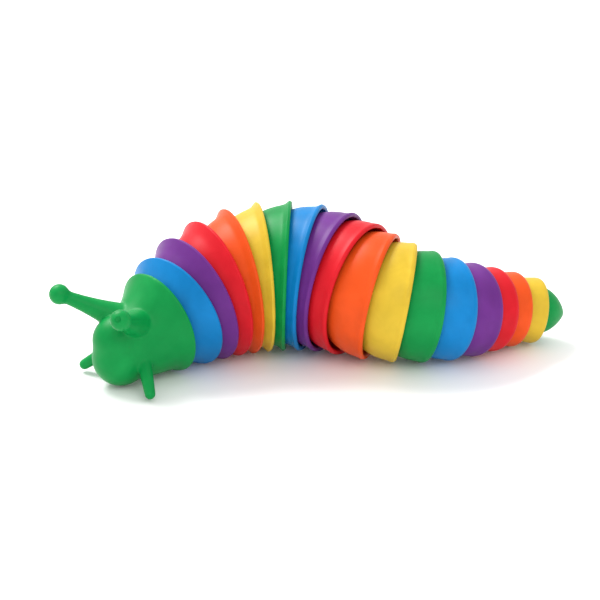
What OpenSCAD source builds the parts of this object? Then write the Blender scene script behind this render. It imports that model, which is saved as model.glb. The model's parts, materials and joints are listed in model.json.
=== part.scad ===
// Articulated fidget slug: a head, seventeen nested rings and a tail cone.
// Every neighbouring pair is coupled by a small universal link, so the body
// bends sideways and up and down. Millimetres, +Z up, head towards -X.

/* [Body] */
// Radius of the open rim at the back of the head
head_rim_r = 15.4; // [15:0.1:15.8]
// Distance from one swivel centre to the next
ring_pitch = 7.2; // [7.1:0.05:7.3]
// Distance from a rim back to the swivel centre behind it
rim_to_swivel = 4.4; // [4.3:0.05:4.5]
// Thickness of the rounded lip at each rim
lip_t = 1.4; // [1.3:0.05:1.5]
// Wall thickness of the rings
wall_t = 1.0; // [0.9:0.05:1.1]
// Free gap between a lip and the ring nested inside it
nest_gap = 0.35; // [0.3:0.05:0.4]

/* [Bending] */
// Distance left between two rims where the bend closes them
closed_rims = 2.3; // [2.2:0.1:2.6]
// Largest up or down bend at one swivel, degrees
nod_limit = 5; // [4:0.5:5]

/* [Coupling] */
// Half width of the tongue at the back of each piece
tongue_w = 1.2; // [1.1:0.05:1.2]
// Half thickness of the tongue
tongue_h = 0.8; // [0.7:0.05:0.8]
// Radius of the link's pins
pin_r = 0.6; // [0.5:0.05:0.6]
// Running clearance between a pin and its bore
pin_gap = 0.05; // [0.03:0.01:0.08]
// Inner face of the fork's cheeks, from the axis
cheek_in = 2.45; // [2.4:0.05:2.5]
// Thickness of each cheek
cheek_t = 0.95; // [0.8:0.05:1]

/* [Head] */
// Length over which the head's bell narrows
bell_len = 9.5; // [9:0.1:10]
// Distance from the head's rim to the centre of its rounded face
face_dist = 12; // [11.5:0.1:12.5]
// Radius of the rounded face
face_r = 8.4; // [8:0.1:8.8]
// Radius of the muzzle below the face
muzzle_r = 8.0; // [7.8:0.1:8]
// Radius of each eye ball
eye_r = 3.0; // [2.6:0.1:3.2]
// Radius of each eye stalk below its ball
stalk_r = 1.6; // [1.3:0.1:1.7]
// Radius of each lower feeler at its tip
feeler_r = 1.6; // [1.4:0.1:1.8]

/* [Tail] */
// Distance from the last swivel to the tip of the tail
tail_len = 4.0; // [3.5:0.1:4.5]

/* [Hidden] */
$fn = 96;
RINGS = 17;                       // rings between head and tail
TAIL = RINGS + 1;                 // index of the tail, the head is 0
swivel_to_rim = ring_pitch - rim_to_swivel;

function two(i) = str(i < 10 ? "0" : "", i);
COLOURS = ["green", "blue", "purple", "red", "orange", "yellow"];
PAINT = [[0, 0.6, 0.29], [0, 0.55, 0.83], [0.46, 0.2, 0.6],
         [0.9, 0.12, 0.2], [0.95, 0.36, 0.13], [0.9, 0.77, 0.25]];
function ring_name(i) = str("ring_", two(i), "_", COLOURS[i % 6]);
function link_name(j) = str("link_", two(j + 1));

// Resting curve: heading and slope of each piece's axis, in degrees.
// Heading 0 points along +X, and a positive heading turns the tail end to -Y.
HEADING = [[0, -43], [1, -46], [3, -30], [5, -9], [8, 24],
           [9, 29], [13, -22], [14, -32], [15, -30], [18, -6]];
SLOPE = [[0, 12], [1, 16], [2, 14], [4, 6], [6, -2], [8, -8], [10, -10], [18, -10.5]];
function heading(i) = lookup(i, HEADING);
function slope(i) = lookup(i, SLOPE);
function axis_of(i) = [cos(slope(i)) * cos(heading(i)),
                       -cos(slope(i)) * sin(heading(i)), sin(slope(i))];

// Height of each rim's centre. Every rim stands on the floor, so its radius follows.
function rim_z(i) = i == 0 ? head_rim_r * cos(slope(0))
    : rim_z(i - 1) + rim_to_swivel * sin(slope(i - 1)) + swivel_to_rim * sin(slope(i));
RIM_R = [for (i = [0 : TAIL]) rim_z(i) / cos(slope(i))];

// Turning matrices. A yaw turns about a piece's own upright axis, and a nod
// about the link's cross axis, in that order, as the universal link does.
function rz(a) = [[cos(a), -sin(a), 0], [sin(a), cos(a), 0], [0, 0, 1]];
function ry(a) = [[cos(a), 0, sin(a)], [0, 1, 0], [-sin(a), 0, cos(a)]];
function turned(m, yaw, nod) = m * rz(-yaw) * ry(-nod);
function seen(m, i) = axis_of(i) * m;       // axis i in the frame m
function yaw_to(m, i) = -atan2(seen(m, i)[1], seen(m, i)[0]);
function nod_to(m, i) = asin(seen(m, i)[2]);
function frame(i) = i == 0 ? rz(-heading(0)) * ry(-slope(0)) : next_frame(frame(i - 1), i);
function next_frame(m, i) = turned(m, yaw_to(m, i), nod_to(m, i));
FRAME = [for (i = [0 : TAIL]) frame(i)];
YAW = [for (j = [0 : RINGS]) yaw_to(FRAME[j], j + 1)];
NOD = [for (j = [0 : RINGS]) nod_to(FRAME[j], j + 1)];

// Swivel centres, the first behind the head. The shift centres the whole toy.
SHIFT = [-40.2, -2.6, 0.2];
function swivel(j) = j == 0
    ? SHIFT + [0, 0, rim_z(0) + rim_to_swivel * sin(slope(0))]
    : swivel(j - 1) + ring_pitch * axis_of(j);
SWIVEL = [for (j = [0 : RINGS]) swivel(j)];

// Largest bend at each swivel, where two rims close up on the inner side.
BEND_CAP = [[0, 11], [2, 11], [3, 15], [12, 15], [17, 12]];
BEND = [for (j = [0 : RINGS])
    min(asin((ring_pitch - closed_rims) / RIM_R[j]), lookup(j, BEND_CAP))];
YAW_LIMIT = [for (b = BEND) sqrt(b * b - nod_limit * nod_limit)];

module placed(m, p) {
    multmatrix([[m[0][0], m[0][1], m[0][2], p[0]],
                [m[1][0], m[1][1], m[1][2], p[1]],
                [m[2][0], m[2][1], m[2][2], p[2]]]) children();
}

// A solid of revolution about X from [x, radius] points.
module lathe(points) {
    rotate([0, 90, 0]) rotate_extrude() polygon([for (q = points) [q[1], q[0]]]);
}

// ---- rings ----
// All x are measured from the ring's front swivel, positive to the tail.
lip_r = lip_t / 2;
FRONT_STEPS = 8;                  // segments of the hidden front
FLARE_STEPS = 6;                  // segments of the flare
boss_x = [-2.6, -1.6];            // front and back of the bulkhead's hub
boss_open = 2.6;                  // radius of the hub's opening
boss_r = 4.4;                     // outer radius of the hub
HOOD = [[0, 1.2], [3, 1.2], [4, 0.2], [10, 0.2], [18, -0.4]];   // extra cover at the front

function lip_in(i) = RIM_R[i] - lip_t;
function reach(j) = norm([lip_in(j), rim_to_swivel]);
function lip_angle(j) = atan2(lip_in(j), rim_to_swivel);
function neck_x(i) = -reach(i - 1) * cos(lip_angle(i - 1) + BEND[i - 1]);
function neck_r(i) = min(reach(i - 1) - nest_gap, RIM_R[i] - 0.3);
function front_x(i) = -reach(i - 1) * cos(lip_angle(i - 1) - BEND[i - 1]) - lookup(i, HOOD);
function growth(i) = max(0, RIM_R[i] - RIM_R[i - 1] + 0.5);
function dome_len(i) = 6 + 0.6 * neck_r(i);
function front_r(i, x) = let (d = neck_x(i) - x)
    neck_r(i) * sqrt(1 - pow(d / dome_len(i), 2)) - 0.25 * growth(i) * d;
function flare_r(i, s) = neck_r(i) + (RIM_R[i] - neck_r(i)) * pow(s, 1.2);
lip_x = swivel_to_rim - lip_r;

// Outer line of a ring, from its hidden front edge to where the lip begins.
function outer_line(i) = concat(
    [for (k = [0 : FRONT_STEPS]) let (x = front_x(i)
        + (neck_x(i) - front_x(i)) * k / FRONT_STEPS) [x, front_r(i, x)]],
    [for (k = [1 : FLARE_STEPS]) let (s = k / FLARE_STEPS)
        [neck_x(i) + (lip_x - neck_x(i)) * s, flare_r(i, s)]]);
function lip_line(i) = [for (a = [67.5 : -22.5 : -45])
    [lip_x + lip_r * cos(a), RIM_R[i] - lip_r + lip_r * sin(a)]];
// Inner line, from the lip forward to the bulkhead.
function inner_line(i) = let (o = outer_line(i), n = len(o)) concat(
    [[lip_x, lip_in(i)]],
    [for (k = [n - 3 : -1 : 1]) [o[k][0], o[k][1] - wall_t]]);

module ring_shell(i) {
    o = outer_line(i);
    lathe(concat(o, lip_line(i), inner_line(i),
        [[boss_x[1], boss_r], [boss_x[1], boss_open], [boss_x[0], boss_open],
         [boss_x[0], boss_r - 0.4], [o[0][0], o[0][1] - wall_t]]));
}

// ---- coupling ----
cheek_out = cheek_in + cheek_t;
cheek_r = 1.3;                    // radius of a cheek's round end
bridge_x = [1.5, 2.4];            // front and back of the fork's bridge
bridge_h = 0.9;                   // half thickness of the bridge
link_x = 1.05;                    // half depth of the link's frame
link_y = cheek_in - 0.15;
link_z = 1.8;
window_y = tongue_w + 0.4;
window_z = tongue_h + 0.2;

// A box from corner a to corner b.
module block(a, b) {
    translate(a) cube(b - a);
}

// Tongue with an upright eye at its end, from x0 to the swivel at x1.
module tongue(x0, x1) {
    difference() {
        union() {
            block([x0, -tongue_w, -tongue_h], [x1, tongue_w, tongue_h]);
            translate([x1, 0, -tongue_h]) cylinder(r = tongue_w, h = 2 * tongue_h);
        }
        translate([x1, 0, -tongue_h - 1]) cylinder(r = pin_r + pin_gap, h = 2 * tongue_h + 2);
    }
}

// Two cheeks about the front swivel, from the hub back to x1.
module cheeks(x0, x1) {
    for (s = [-1, 1]) difference() {
        union() {
            block([x0, s > 0 ? cheek_in : -cheek_out, -bridge_h],
                  [x1, s > 0 ? cheek_out : -cheek_in, bridge_h]);
            translate([0, s > 0 ? cheek_in : -cheek_out, 0]) rotate([-90, 0, 0])
                cylinder(r = cheek_r, h = cheek_t);
        }
        translate([0, s > 0 ? cheek_in - 1 : -cheek_out - 1, 0]) rotate([-90, 0, 0])
            cylinder(r = pin_r + pin_gap, h = cheek_t + 2);
    }
}

module ring(i) {
    color(PAINT[i % 6]) placed(FRAME[i], SWIVEL[i - 1]) union() {
        ring_shell(i);
        cheeks(boss_x[1] - 0.5, bridge_x[1]);
        block([bridge_x[0], -cheek_out, -bridge_h], [bridge_x[1], cheek_out, bridge_h]);
        tongue(bridge_x[1] - 0.2, ring_pitch);
    }
}

// Universal link: a frame round the tongue's eye with an upright pin through
// it and a cross pin out to each cheek.
module link(j) {
    color([0.92, 0.92, 0.9]) placed(FRAME[j] * rz(-YAW[j]), SWIVEL[j]) union() {
        difference() {
            block([-link_x, -link_y, -link_z], [link_x, link_y, link_z]);
            block([-link_x - 1, -window_y, -window_z], [link_x + 1, window_y, window_z]);
        }
        translate([0, 0, -link_z]) cylinder(r = pin_r, h = 2 * link_z);
        for (s = [-1, 1]) translate([0, s > 0 ? link_y - 0.2 : -cheek_out, 0])
            rotate([-90, 0, 0]) cylinder(r = pin_r, h = cheek_out - link_y + 0.2);
    }
}

// ---- head ----
// Lengths along the head are measured forward from its rim. Each feature point
// is [forward, sideways, up] from the rim's centre.
HEAD_STEPS = 10;
EYE = [22.2, 13.7, 15.8];
STALK_ROOT = [12.5, 3.8, 4.6];
FEELER_TIP = [18.8, 14.8, -9.3];
FEELER_ROOT = [12, 5.5, -3];
MUZZLE = [16, 0, -3.6];
tip_step = 0.15;                  // a feeler is this much thinner than its round end
bowl_r = 14.2;                    // hollow at the back, a sphere about the swivel
bowl_end = -12;                   // flat end of the hollow
bowl_x0 = -rim_to_swivel - lip_r; // front of the rim's straight stretch

function bell_r(s) = face_r
    + (head_rim_r - face_r) * (1 + cos(180 * min(1, s / bell_len))) / 2;
function head_line() = concat(
    [for (k = [HEAD_STEPS : -1 : 1]) let (a = 90 * k / HEAD_STEPS)
        [-rim_to_swivel - face_dist - face_r * sin(a) * 0.97, face_r * cos(a)]],
    [[-rim_to_swivel - face_dist, face_r]],
    [for (k = [HEAD_STEPS : -1 : 1]) let (s = lip_r + (bell_len - lip_r) * k / HEAD_STEPS)
        [-rim_to_swivel - s, bell_r(s - lip_r)]]);
function head_lip() = [for (a = [90 : -22.5 : -45])
    [-rim_to_swivel - lip_r + lip_r * cos(a), head_rim_r - lip_r + lip_r * sin(a)]];
// Hollow at the back, with the swivel at its centre.
function bowl_line() = concat([[bowl_x0, head_rim_r - lip_t]],
    [for (k = [1 : 6]) let (x = bowl_x0 - lip_r + (bowl_end - bowl_x0 + lip_r) * k / 6)
        [x, sqrt(bowl_r * bowl_r - x * x)]], [[bowl_end, 0]]);

// Point on the head for [forward, sideways, up], on side s.
function on_head(v, s) = [-rim_to_swivel - v[0], s * v[1], v[2]];

// Round bar from a to b, radius ra at a and rb at b.
module bar(a, b, ra, rb) {
    d = b - a;
    translate(a) rotate([0, acos(d[2] / norm(d)), atan2(d[1], d[0])])
        cylinder(r1 = ra, r2 = rb, h = norm(d));
}

module head() {
    color(PAINT[0]) placed(FRAME[0], SWIVEL[0]) union() {
        lathe(concat(head_line(), head_lip(), bowl_line()));
        translate(on_head(MUZZLE, 1)) sphere(r = muzzle_r);
        bar([bowl_end - 1, 0, 0], [-5.5, 0, 0], 3.2, 1.3);
        tongue(bowl_end - 1, 0);
        for (s = [-1, 1]) {
            bar(on_head(STALK_ROOT, s), on_head(EYE, s), 3, stalk_r);
            translate(on_head(EYE, s)) sphere(r = eye_r);
            bar(on_head(FEELER_ROOT, s), on_head(FEELER_TIP, s), 2.1, feeler_r - tip_step);
            translate(on_head(FEELER_TIP, s)) sphere(r = feeler_r);
        }
    }
}

// ---- tail ----
TAIL_STEPS = 8;
tail_back = 2.0;                  // end of the tail's hollow
function tail_r(x) = let (d = x - front_x(TAIL), l = tail_len - front_x(TAIL))
    neck_r(TAIL) * 0.9 * pow(max(0, 1 - pow(d / l, 2.2)), 0.75);
function tail_line() = [for (k = [0 : TAIL_STEPS])
    let (x = front_x(TAIL) + (tail_len - front_x(TAIL)) * sin(90 * k / TAIL_STEPS))
    [x, tail_r(x)]];

module tail() {
    o = tail_line();
    color(PAINT[0]) placed(FRAME[TAIL], SWIVEL[RINGS]) {
        difference() {
            lathe(concat(o, [[o[0][0], 0]]));
            lathe([[o[0][0] - 1, 0], [o[0][0] - 1, o[0][1] - wall_t],
                   [-1.5, tail_r(-1.5) - wall_t], [tail_back - 0.5, cheek_out], [tail_back - 0.5, 0]]);
        }
        cheeks(-cheek_r + 0.3, tail_back);
    }
}

head();
for (i = [1 : RINGS]) ring(i);
tail();
for (j = [0 : RINGS]) link(j);
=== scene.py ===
"""Articulated fidget slug: smooth moulded skins around the CAD frame."""
import bmesh
import bpy
import json
import math
from mathutils import Matrix, Vector


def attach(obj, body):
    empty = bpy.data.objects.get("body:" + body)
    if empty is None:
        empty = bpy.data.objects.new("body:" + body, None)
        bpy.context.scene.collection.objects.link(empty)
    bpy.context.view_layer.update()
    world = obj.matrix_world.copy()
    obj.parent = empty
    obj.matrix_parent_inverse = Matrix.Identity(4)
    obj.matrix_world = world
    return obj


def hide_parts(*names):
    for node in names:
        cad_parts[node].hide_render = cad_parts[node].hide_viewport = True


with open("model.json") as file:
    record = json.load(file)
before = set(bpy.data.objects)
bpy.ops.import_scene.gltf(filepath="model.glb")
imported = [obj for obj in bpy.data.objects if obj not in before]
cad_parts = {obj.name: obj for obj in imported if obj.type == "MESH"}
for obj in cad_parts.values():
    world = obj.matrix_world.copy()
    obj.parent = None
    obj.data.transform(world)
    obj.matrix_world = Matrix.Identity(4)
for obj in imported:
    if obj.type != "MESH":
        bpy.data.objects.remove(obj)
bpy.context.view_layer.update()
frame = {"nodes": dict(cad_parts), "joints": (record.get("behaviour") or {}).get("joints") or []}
MM = 0.001

# ---- sizes shared with the CAD design, in millimetres ----
PITCH, RIM_TO_SWIVEL, LIP, WALL, NEST = 7.2, 4.4, 1.4, 1.0, 0.35
SWIVEL_TO_RIM = PITCH - RIM_TO_SWIVEL
CLOSED_RIMS = 2.3
BEND_CAP = [(0, 11), (2, 11), (3, 15), (12, 15), (17, 12)]
HOOD = [(0, 1.2), (3, 1.2), (4, 0.2), (10, 0.2), (18, -0.4)]
SHOULDER = [(0, 0.9), (9, 0.9), (12, 1.5), (18, 1.5)]
FLOOR_LIFT = 0.2
RINGS, TAIL = 17, 18
AROUND = 144
DOME_STEPS, FLARE_STEPS, FLARE_POWER = 40, 30, 1.15
HUB = [(-1.6, 4.4), (-1.6, 2.6), (-2.6, 2.6), (-2.6, 4.0)]
FORK_R, FORK_FRONT, HEAD_FORK_R = 4.0, -1.61, 3.3
COLOURS = ["green", "blue", "purple", "red", "orange", "yellow"]


def lookup(x, table):
    for (x0, y0), (x1, y1) in zip(table, table[1:]):
        if x <= x1:
            return y0 + (y1 - y0) * (x - x0) / (x1 - x0)
    return table[-1][1]


# ---- each piece's own frame, read from the joints ----
joint = {j["name"]: j for j in frame["joints"]}
SWIVEL = [Vector(joint["yaw_%02d" % (j + 1)]["pos_m"]) / MM for j in range(TAIL)]
UP = [Vector(joint["yaw_%02d" % (j + 1)]["axis"]) for j in range(TAIL)]


def piece_axes(i):
    """The piece's tailward, sideways and upward directions."""
    if i == 0:
        # The head's sideways direction is level, so its up direction gives the rest.
        z = UP[0]
        y = Vector((-z.y, z.x, 0)).normalized()
        return (y.cross(z), y, z) if y.cross(z).x > 0 else (-y.cross(z), -y, z)
    y = Vector(joint["nod_%02d" % i]["axis"])
    if i < TAIL:
        return y.cross(UP[i]), y, UP[i]
    x = Matrix.Rotation(middle_nod(TAIL), 3, y) @ y.cross(UP[TAIL - 1])
    return x, y, x.cross(y)


def middle_nod(i):
    """Nod from the straight position to rest: the range is even about straight."""
    low, high = joint["nod_%02d" % i]["range_deg"]
    return -math.radians((low + high) / 2)


AXES = [piece_axes(i) for i in range(TAIL + 1)]


def placed(i):
    """Matrix from the piece's millimetre frame at its swivel to the scene."""
    x, y, z = AXES[i]
    p = SWIVEL[0] if i == 0 else SWIVEL[i - 1]
    m = Matrix(((x.x, y.x, z.x, p.x), (x.y, y.y, z.y, p.y), (x.z, y.z, z.z, p.z), (0, 0, 0, 1)))
    return Matrix.Scale(MM, 4) @ m


def rim_radius(i):
    x = AXES[i][0]
    if i == 0:
        c = SWIVEL[0] - RIM_TO_SWIVEL * x
    else:
        c = SWIVEL[i - 1] + SWIVEL_TO_RIM * x
    return (c.z - FLOOR_LIFT) / math.cos(math.asin(x.z))


RIM = [rim_radius(i) for i in range(TAIL + 1)]
BEND = [min(math.degrees(math.asin((PITCH - CLOSED_RIMS) / RIM[j])), lookup(j, BEND_CAP))
        for j in range(TAIL)]


def reach(j):
    return math.hypot(RIM[j] - LIP, RIM_TO_SWIVEL)


def lip_angle(j):
    return math.degrees(math.atan2(RIM[j] - LIP, RIM_TO_SWIVEL))


def neck(i):
    x = -reach(i - 1) * math.cos(math.radians(lip_angle(i - 1) + BEND[i - 1]))
    return x, min(reach(i - 1) - NEST, RIM[i] - 0.3)


def front_x(i):
    return -reach(i - 1) * math.cos(math.radians(lip_angle(i - 1) - BEND[i - 1])) - lookup(i, HOOD)


def ring_profile(i):
    """Closed outline [x, radius] of a ring's shell and bulkhead."""
    nx, nr = neck(i)
    fx, grow = front_x(i), max(0.0, RIM[i] - RIM[i - 1] + 0.5)
    dome = 6 + 0.6 * nr
    r = LIP / 2
    lip_x = SWIVEL_TO_RIM - r
    wide = lookup(i, SHOULDER)
    flare_end = SWIVEL_TO_RIM - wide
    outer = []
    for k in range(DOME_STEPS + 1):
        x = fx + (nx - fx) * k / DOME_STEPS
        d = nx - x
        outer.append((x, nr * math.sqrt(1 - (d / dome) ** 2) - 0.25 * grow * d))
    for k in range(1, FLARE_STEPS + 1):
        s = k / FLARE_STEPS
        outer.append((nx + (flare_end - nx) * s, nr + (RIM[i] - nr) * s ** FLARE_POWER))
    outer = softened(outer)
    lip = [(flare_end + wide * math.cos(math.radians(a)),
            RIM[i] - r + r * math.sin(math.radians(a))) for a in range(82, 0, -8)]
    lip += [(lip_x + r * math.cos(math.radians(a)), RIM[i] - r + r * math.sin(math.radians(a)))
            for a in range(0, -61, -10)]
    inner = [(lip_x - 0.1, RIM[i] - LIP)]
    inner += [(x, q - WALL) for x, q in outer[::-3] if x < lip_x - 1.2]
    return outer + lip + inner + HUB + [(outer[0][0], outer[0][1] - WALL)]


def softened(line, passes=70):
    """Rounds off the bend where the hidden dome meets the flare, ends kept."""
    p = line
    for _ in range(passes):
        mid = [((a[0] + 2 * b[0] + c[0]) / 4, (a[1] + 2 * b[1] + c[1]) / 4)
               for a, b, c in zip(p, p[1:], p[2:])]
        p = [p[0]] + mid + [p[-1]]
    return p


def lathe_mesh(name, outline, closed=True):
    """Mesh turned about X from an outline of [x, radius] points."""
    verts, faces, rows = [], [], []
    for x, r in outline:
        if r < 1e-6:
            rows.append([len(verts)])
            verts.append((x, 0, 0))
            continue
        rows.append(list(range(len(verts), len(verts) + AROUND)))
        for k in range(AROUND):
            a = 2 * math.pi * k / AROUND
            verts.append((x, r * math.cos(a), r * math.sin(a)))
    pairs = list(zip(rows, rows[1:])) + ([(rows[-1], rows[0])] if closed else [])
    for a, b in pairs:
        if len(a) == 1 and len(b) == 1:
            continue
        for k in range(AROUND):
            n = (k + 1) % AROUND
            if len(a) == 1:
                faces.append((a[0], b[n], b[k]))
            elif len(b) == 1:
                faces.append((a[k], a[n], b[0]))
            else:
                faces.append((a[k], a[n], b[n], b[k]))
    mesh = bpy.data.meshes.new(name)
    mesh.from_pydata(verts, [], faces)
    mesh.validate()
    return mesh


def fork_mesh(i, node, keep):
    """The fork and tongue of a CAD node, as a mesh in the piece's own frame.
    keep says which corners belong to them."""
    inv = placed(i).inverted()
    src = frame["nodes"][node].data
    co = [inv @ v.co for v in src.vertices]
    ok = [keep(c) for c in co]
    faces = []
    for p in src.polygons:
        if all(ok[v] for v in p.vertices):
            faces.append(tuple(p.vertices))
    used = sorted({v for f in faces for v in f})
    index = {v: n for n, v in enumerate(used)}
    mesh = bpy.data.meshes.new(node + "_fork")
    mesh.from_pydata([tuple(co[v]) for v in used], [], [tuple(index[v] for v in f) for f in faces])
    return mesh


def bm_fix(mesh):
    bm = bmesh.new()
    bm.from_mesh(mesh)
    bmesh.ops.recalc_face_normals(bm, faces=bm.faces)
    bm.to_mesh(mesh)
    bm.free()


def add_object(name, mesh):
    obj = bpy.data.objects.new(name, mesh)
    bpy.context.scene.collection.objects.link(obj)
    return obj


def join_parts(name, meshes):
    objs = [add_object(name + "_p%d" % n, m) for n, m in enumerate(meshes)]
    for o in bpy.context.selected_objects:
        o.select_set(False)
    for o in objs:
        o.select_set(True)
    bpy.context.view_layer.objects.active = objs[0]
    if len(objs) > 1:
        bpy.ops.object.join()
    objs[0].name = name
    objs[0].data.name = name
    return objs[0]


# ---- materials ----
PAINT = {
    "green": (0.0, 0.225, 0.045),
    "blue": (0.0, 0.165, 0.43),
    "purple": (0.121, 0.021, 0.194),
    "red": (0.55, 0.006, 0.014),
    "orange": (0.66, 0.069, 0.007),
    "yellow": (0.57, 0.385, 0.028),
}


def node(tree, kind, x, y, **inputs):
    n = tree.nodes.new(kind)
    n.location = (x, y)
    for key, value in inputs.items():
        n.inputs[key.replace("_", " ")].default_value = value
    return n


def plastic(name, colour, rough=0.4):
    """Satin moulded plastic: faint flow marks in the pigment, an uneven sheen
    and a fine skin like orange peel."""
    m = bpy.data.materials.new(name)
    m.use_nodes = True
    t = m.node_tree
    t.nodes.clear()
    out = node(t, "ShaderNodeOutputMaterial", 900, 0)
    b = node(t, "ShaderNodeBsdfPrincipled", 600, 0)
    t.links.new(b.outputs[0], out.inputs[0])
    b.inputs["IOR"].default_value = 1.46
    b.inputs["Specular IOR Level"].default_value = 0.14
    b.inputs["Subsurface Weight"].default_value = 0.06
    b.inputs["Subsurface Radius"].default_value = (1.0, 0.6, 0.4)
    b.inputs["Subsurface Scale"].default_value = 0.001
    c = node(t, "ShaderNodeTexCoord", -900, 0)
    flow = node(t, "ShaderNodeTexNoise", -600, 400, Scale=38.0, Detail=3.0, Distortion=1.5)
    swirl = node(t, "ShaderNodeTexNoise", -600, 200, Scale=210.0, Detail=4.0, Distortion=0.8)
    grain = node(t, "ShaderNodeTexNoise", -600, -100, Scale=2200.0, Detail=2.0)
    peel = node(t, "ShaderNodeTexNoise", -600, -400, Scale=520.0, Detail=3.0)
    for n in (flow, swirl, grain, peel):
        t.links.new(c.outputs["Object"], n.inputs["Vector"])
    both = node(t, "ShaderNodeMath", -400, 300)
    both.operation = "MULTIPLY_ADD"
    both.inputs[1].default_value = 0.4
    t.links.new(swirl.outputs["Fac"], both.inputs[0])
    t.links.new(flow.outputs["Fac"], both.inputs[2])
    ramp = node(t, "ShaderNodeValToRGB", -200, 300)
    ramp.color_ramp.elements[0].position = 0.5
    ramp.color_ramp.elements[1].position = 0.9
    ramp.color_ramp.elements[0].color = tuple(v * 0.9 for v in colour) + (1,)
    ramp.color_ramp.elements[1].color = tuple(min(1, v * 1.1 + 0.003) for v in colour) + (1,)
    t.links.new(both.outputs[0], ramp.inputs[0])
    t.links.new(ramp.outputs[0], b.inputs["Base Color"])
    sheen = node(t, "ShaderNodeMapRange", 0, -50)
    sheen.inputs["To Min"].default_value = rough - 0.07
    sheen.inputs["To Max"].default_value = rough + 0.09
    t.links.new(swirl.outputs["Fac"], sheen.inputs["Value"])
    t.links.new(sheen.outputs[0], b.inputs["Roughness"])
    b1 = node(t, "ShaderNodeBump", 100, -300, Strength=0.1, Distance=0.00005)
    b2 = node(t, "ShaderNodeBump", 350, -300, Strength=0.08, Distance=0.000015)
    t.links.new(peel.outputs["Fac"], b1.inputs["Height"])
    t.links.new(grain.outputs["Fac"], b2.inputs["Height"])
    t.links.new(b1.outputs[0], b2.inputs["Normal"])
    t.links.new(b2.outputs[0], b.inputs["Normal"])
    return m


SKIN = {c: plastic(c + "_moulded", PAINT[c]) for c in COLOURS}
NATURAL = plastic("link_moulded", (0.78, 0.78, 0.74), 0.5)


def in_fork(c):
    return math.hypot(c.y, c.z) < FORK_R and c.x > FORK_FRONT


def in_head_fork(c):
    return math.hypot(c.y, c.z) < HEAD_FORK_R and c.x > BOWL_END - 0.01


def finish(name, shell, fork, i, colour, node_name, body):
    """Joins a piece's skin and fork, places it and hands it to the frame."""
    bm_fix(shell)
    for m in (shell, fork):
        for p in m.polygons:
            p.use_smooth = True
    shell.set_sharp_from_angle(angle=math.radians(50))
    fork.set_sharp_from_angle(angle=math.radians(35))
    skin = join_parts(name, [shell, fork])
    skin.data.transform(placed(i))
    skin.data.materials.clear()
    skin.data.materials.append(SKIN[colour])
    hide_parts(node_name)
    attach(skin, body)


# ---- rings ----
for i in range(1, RINGS + 1):
    colour = COLOURS[i % len(COLOURS)]
    cad = "ring_%02d_%s" % (i, colour)
    shell = lathe_mesh(cad + "_shell", ring_profile(i))
    finish(cad + "_skin", shell, fork_mesh(i, cad, in_fork), i, colour, cad, "ring_%02d" % i)

# ---- head ----
# Feature points are [forward, sideways, up] from the rim's centre.
BELL_LEN, FACE_DIST, FACE_R, MUZZLE_R = 11.5, 12.0, 8.4, 8.0
BROW_R, CHIN_R = 7.2, 12.9
EYE_R, STALK_R, FEELER_R, PUPIL_R = 3.0, 1.9, 1.6, 1.1
EYE = (22.2, 13.7, 15.8)
STALK_ROOT = (9.5, 3.0, 4.4)
FEELER_TIP = (18.8, 14.8, -9.3)
FEELER_ROOT = (12, 5.5, -3)
MUZZLE = (16, 0, -3.6)
BROW = (15.5, 0, 1.8)
CHIN_ROOT = (1.2, 0, -2.0)
BOWL_R, BOWL_END = 14.2, -12.0


def on_head(v, s):
    return Vector((-RIM_TO_SWIVEL - v[0], s * v[1], v[2]))


def bell(s):
    f = max(0.0, 1 - s / BELL_LEN) ** 1.5
    return FACE_R + (RIM[0] - FACE_R) * f


def head_outline():
    r = LIP / 2
    face_x = -RIM_TO_SWIVEL - FACE_DIST
    face = [(face_x - FACE_R * 0.97 * math.cos(math.radians(a)), FACE_R * math.sin(math.radians(a)))
            for a in range(0, 91, 5)]
    n = 30
    flank = [(-RIM_TO_SWIVEL - s, bell(s - r))
             for s in (r + (BELL_LEN - r) * k / n for k in range(n, 0, -1))]
    lip_x = -RIM_TO_SWIVEL - r
    lip = [(lip_x + r * math.cos(math.radians(a)), RIM[0] - r + r * math.sin(math.radians(a)))
           for a in range(90, -46, -9)]
    return face + flank + lip + [(lip[-1][0], 0.0)]


def bowl_outline():
    """Hollow at the back of the head, a sphere about the swivel."""
    x0 = -RIM_TO_SWIVEL - LIP / 2
    n = 24
    arc = [(x, math.sqrt(BOWL_R ** 2 - x * x))
           for x in (x0 - LIP / 2 + (BOWL_END - x0 + LIP / 2) * k / n for k in range(n + 1))]
    return [(0.0, 0.0), (0.0, RIM[0] - LIP), (x0, RIM[0] - LIP)] + arc + [(BOWL_END, 0.0)]


def tube_mesh(name, points, radii, sides=40):
    """Round bar along points, with its ends closed."""
    verts, faces = [], []
    d = (points[-1] - points[0]).normalized()
    u = d.orthogonal().normalized()
    w = d.cross(u)
    for p, r in zip(points, radii):
        for s in range(sides):
            t = 2 * math.pi * s / sides
            verts.append(tuple(p + u * (r * math.cos(t)) + w * (r * math.sin(t))))
    for k in range(len(points) - 1):
        for s in range(sides):
            n = (s + 1) % sides
            faces.append((k * sides + s, k * sides + n, (k + 1) * sides + n, (k + 1) * sides + s))
    faces.append(tuple(range(sides - 1, -1, -1)))
    last = (len(points) - 1) * sides
    faces.append(tuple(range(last, last + sides)))
    mesh = bpy.data.meshes.new(name)
    mesh.from_pydata(verts, [], faces)
    return mesh


def horn(name, root, tip, s, r, spread, power, n=24):
    """Bar from root to tip of radius r, spreading by spread towards its root."""
    a, b = on_head(root, s), on_head(tip, s)
    steps = [k / n for k in range(n + 1)]
    return tube_mesh(name, [a.lerp(b, f) for f in steps],
                     [r + spread * (1 - f) ** power for f in steps])


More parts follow.
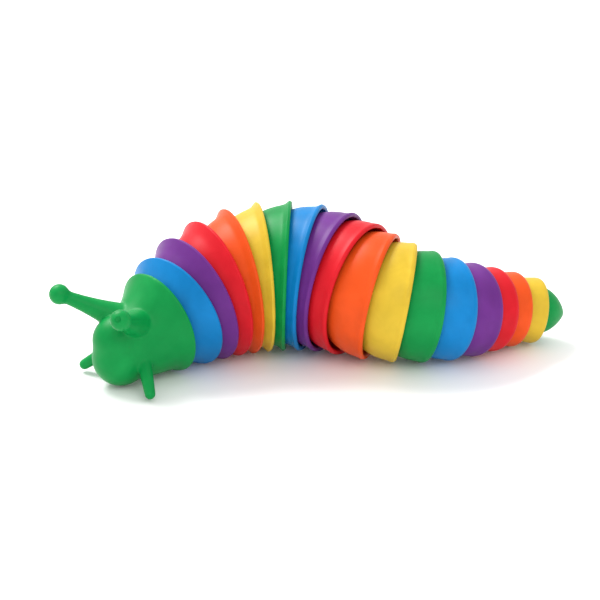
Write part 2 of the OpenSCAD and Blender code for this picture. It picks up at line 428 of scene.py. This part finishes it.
def ball(name, centre, r):
    bm = bmesh.new()
    bmesh.ops.create_uvsphere(bm, u_segments=48, v_segments=24, radius=r,
                              matrix=Matrix.Translation(centre))
    mesh = bpy.data.meshes.new(name)
    bm.to_mesh(mesh)
    bm.free()
    return mesh


parts = [lathe_mesh("head_bell", head_outline(), closed=False)]
parts.append(ball("muzzle", on_head(MUZZLE, 1), MUZZLE_R))
parts.append(ball("brow", on_head(BROW, 1), BROW_R))
parts.append(horn("face", BROW, MUZZLE, 1, MUZZLE_R - 0.1, BROW_R - MUZZLE_R, 1.0))
parts.append(horn("chin", CHIN_ROOT, MUZZLE, 1, MUZZLE_R - 0.2, CHIN_R - MUZZLE_R, 1.0))
cuts = [lathe_mesh("head_bowl", bowl_outline(), closed=False)]
for s in (-1, 1):
    parts.append(horn("stalk", STALK_ROOT, EYE, s, STALK_R, 2.9, 1.8))
    parts.append(horn("feeler", FEELER_ROOT, FEELER_TIP, s, FEELER_R, 0.6, 1.0))
    parts.append(ball("eye", on_head(EYE, s), EYE_R))
    parts.append(ball("toe", on_head(FEELER_TIP, s), FEELER_R))
    look = (on_head(EYE, s) - on_head(STALK_ROOT, s)).normalized()
    cuts.append(ball("pupil", on_head(EYE, s) + look * (EYE_R + 0.35), PUPIL_R))
for m in parts + cuts:
    bm_fix(m)
head = join_parts("head_skin", parts)
cutter = join_parts("head_cuts", cuts)
remesh = head.modifiers.new("blend", "REMESH")
remesh.mode = "VOXEL"
remesh.voxel_size = 0.3
soften = head.modifiers.new("soften", "SMOOTH")
soften.factor = 0.5
soften.iterations = 30
hollow = head.modifiers.new("hollow", "BOOLEAN")
hollow.operation = "DIFFERENCE"
hollow.solver = "EXACT"
hollow.object = cutter
depsgraph = bpy.context.evaluated_depsgraph_get()
baked = bpy.data.meshes.new_from_object(head.evaluated_get(depsgraph))
for old in (head, cutter):
    bpy.data.objects.remove(old)
finish("head_skin", baked, fork_mesh(0, "head", in_head_fork), 0, "green", "head", "head")

# ---- tail ----
TAIL_LEN, TAIL_BACK = 4.0, 2.0
CHEEK_IN, CHEEK_OUT, CHEEK_R = 2.4, 3.4, 3.9


def tail_r(x):
    front = front_x(TAIL)
    f = (x - front) / (TAIL_LEN - front)
    return neck(TAIL)[1] * 0.9 * max(0.0, 1 - f ** 2.2) ** 0.75


def tail_outline():
    front, n = front_x(TAIL), 48
    xs = [front + (TAIL_LEN - front) * math.sin(math.pi / 2 * k / n) for k in range(n)]
    outer = [(x, tail_r(x)) for x in xs] + [(TAIL_LEN, 0.0)]
    end = TAIL_BACK - 0.5
    return outer + [(end, 0.0), (end, CHEEK_OUT), (-1.5, tail_r(-1.5) - WALL),
                    (front, outer[0][1] - WALL), outer[0]]


def in_cheek(c):
    return abs(c.y) > CHEEK_IN and math.hypot(c.y, c.z) < CHEEK_R and c.x < TAIL_BACK - 0.49


finish("tail_skin", lathe_mesh("tail_shell", tail_outline(), closed=False),
       fork_mesh(TAIL, "tail", in_cheek), TAIL, "green", "tail", "tail")

# ---- links keep their CAD shape ----
for j in range(TAIL):
    obj = frame["nodes"]["link_%02d" % (j + 1)]
    for slot in obj.material_slots:
        slot.material = NATURAL
    for p in obj.data.polygons:
        p.use_smooth = True
    obj.data.set_sharp_from_angle(angle=math.radians(30))

# ---- floor, light and camera ----
floor_mat = bpy.data.materials.new("floor")
floor_mat.use_nodes = True
fb = floor_mat.node_tree.nodes["Principled BSDF"]
fb.inputs["Base Color"].default_value = (0.93, 0.93, 0.93, 1)
fb.inputs["Roughness"].default_value = 0.55
bpy.ops.mesh.primitive_plane_add(size=12, location=(0, 0, 0))
floor = bpy.context.object
floor.name = "floor"
floor.data.materials.append(floor_mat)

world = bpy.data.worlds.new("studio")
bpy.context.scene.world = world
world.use_nodes = True
world.node_tree.nodes["Background"].inputs[0].default_value = (1, 1, 1, 1)
world.node_tree.nodes["Background"].inputs[1].default_value = 1.0


def area(name, at, size, watts, target=(0, 0, 0.02)):
    light = bpy.data.lights.new(name, "AREA")
    light.shape = "RECTANGLE"
    light.size, light.size_y = size
    light.energy = watts
    obj = bpy.data.objects.new(name, light)
    bpy.context.scene.collection.objects.link(obj)
    obj.location = at
    obj.rotation_euler = (Vector(target) - Vector(at)).to_track_quat("-Z", "Y").to_euler()


area("key", (-0.40, 0.40, 0.70), (0.5, 0.4), 9.0)
area("fill", (0.2, -0.7, 0.60), (0.8, 0.6), 3.0)

camera = bpy.data.cameras.new("camera")
cam = bpy.data.objects.new("camera", camera)
bpy.context.scene.collection.objects.link(cam)
bpy.context.scene.camera = cam
CAM_ELEV, CAM_DIST, SENSOR_MM, LENS_MM = 20.7, 0.60, 36.0, 126.072
AIM = Vector((-0.0039, 0.0004, 0.0195))
elevation = math.radians(CAM_ELEV)
cam.location = AIM + CAM_DIST * Vector((0, -math.cos(elevation), math.sin(elevation)))
cam.rotation_euler = (math.pi / 2 - elevation, 0, 0)
camera.sensor_width = SENSOR_MM
camera.lens = LENS_MM
camera.clip_start = 0.01
scene = bpy.context.scene
scene.view_settings.view_transform = "Standard"
scene.view_settings.look = "None"
